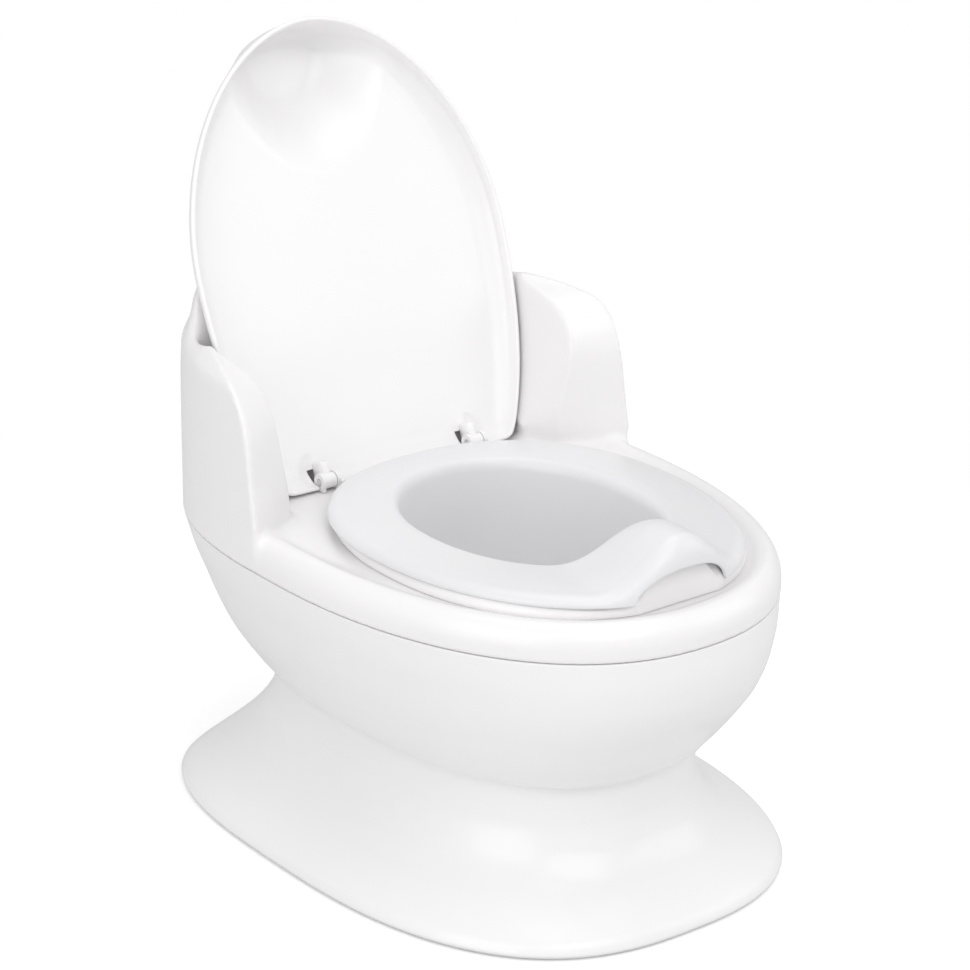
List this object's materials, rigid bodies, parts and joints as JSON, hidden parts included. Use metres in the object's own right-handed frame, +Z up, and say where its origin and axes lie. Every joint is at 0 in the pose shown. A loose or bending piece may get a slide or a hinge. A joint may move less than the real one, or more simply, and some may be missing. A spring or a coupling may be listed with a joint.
{
  "type": "potty training chair",
  "caption": "Child's potty chair shaped like a small toilet: lift-out pot on a ring, hinged oval lid, tank with a sprung flush button and a sound unit.",
  "frame": {"origin": "on the floor, below the middle of the chair's outer box with the lid open and the pot seated", "axes": "+Z up, the chair faces -Y with the tank at +Y, +X is the seated child's left when they face forward"},
  "size_m": [0.286, 0.4124, 0.4582],
  "materials": {
    "shell_white": "smooth injection-moulded warm white, soft gloss",
    "pot_white": "smooth injection-moulded cool white, soft gloss",
    "lid_white": "smooth injection-moulded white, soft gloss",
    "steel": "zinc-plated steel",
    "rubber": "matt grey anti-slip rubber",
    "dark_plastic": "dark moulded plastic",
    "battery_jacket": "plain printed steel jacket",
    "circuit_board": "green solder mask"
  },
  "bodies": {
    "chair": {"base_screw_1": "steel", "base_screw_2": "steel", "base_screw_3": "steel", "base_screw_4": "steel", "battery_1": "battery_jacket", "battery_2": "battery_jacket", "battery_contact_1": "steel", "battery_contact_2": "steel", "battery_tray": "dark_plastic", "bowl_shell": "shell_white", "circuit_board": "circuit_board", "flush_spring": "steel", "foot_pad_1": "rubber", "foot_pad_2": "rubber", "foot_pad_3": "rubber", "foot_pad_4": "rubber", "hinge_bracket_left": "shell_white", "hinge_bracket_right": "shell_white", "hinge_pin_left": "steel", "hinge_pin_right": "steel", "pedestal_base": "shell_white", "ring_screw_1": "steel", "ring_screw_2": "steel", "ring_screw_3": "steel", "ring_screw_4": "steel", "sound_housing": "dark_plastic", "speaker": "dark_plastic", "support_ring": "shell_white", "upper_shell": "shell_white"},
    "lid_body": {"lid": "lid_white"},
    "pot_body": {"potty_pot": "pot_white"},
    "button_body": {"flush_button": "lid_white"},
    "door_body": {"battery_door": "shell_white"},
    "door_screw_body": {"battery_door_screw": "steel"},
    "switch_body": {"sound_switch": "dark_plastic"}
  },
  "joints": [
    {"name": "lid_hinge", "type": "hinge", "parent": "chair", "child": "lid_body", "pos_m": [0, 0.07718, 0.203], "axis": [-1, 0, 0], "range_deg": [-110.4, 0]},
    {"name": "pot_lift", "type": "slide", "parent": "chair", "child": "pot_body", "axis": [0, 0, 1], "range_m": [0, 0.088]},
    {"name": "flush_press", "type": "slide", "parent": "chair", "child": "button_body", "axis": [0, 0, -1], "range_m": [0, 0.004], "stiffness_N_per_m": 400, "springref_m": -0.002, "deforming": ["flush_spring"]},
    {"name": "battery_door_pull", "type": "slide", "parent": "chair", "child": "door_body", "axis": [0, 1, 0], "range_m": [0, 0.03]},
    {"name": "battery_door_screw_turn", "type": "hinge", "parent": "door_body", "child": "door_screw_body", "pos_m": [0, 0.19318, 0.271], "axis": [0, 1, 0], "continuous": true},
    {"name": "sound_switch_slide", "type": "slide", "parent": "chair", "child": "switch_body", "axis": [1, 0, 0], "range_m": [0, 0.005]}
  ]
}
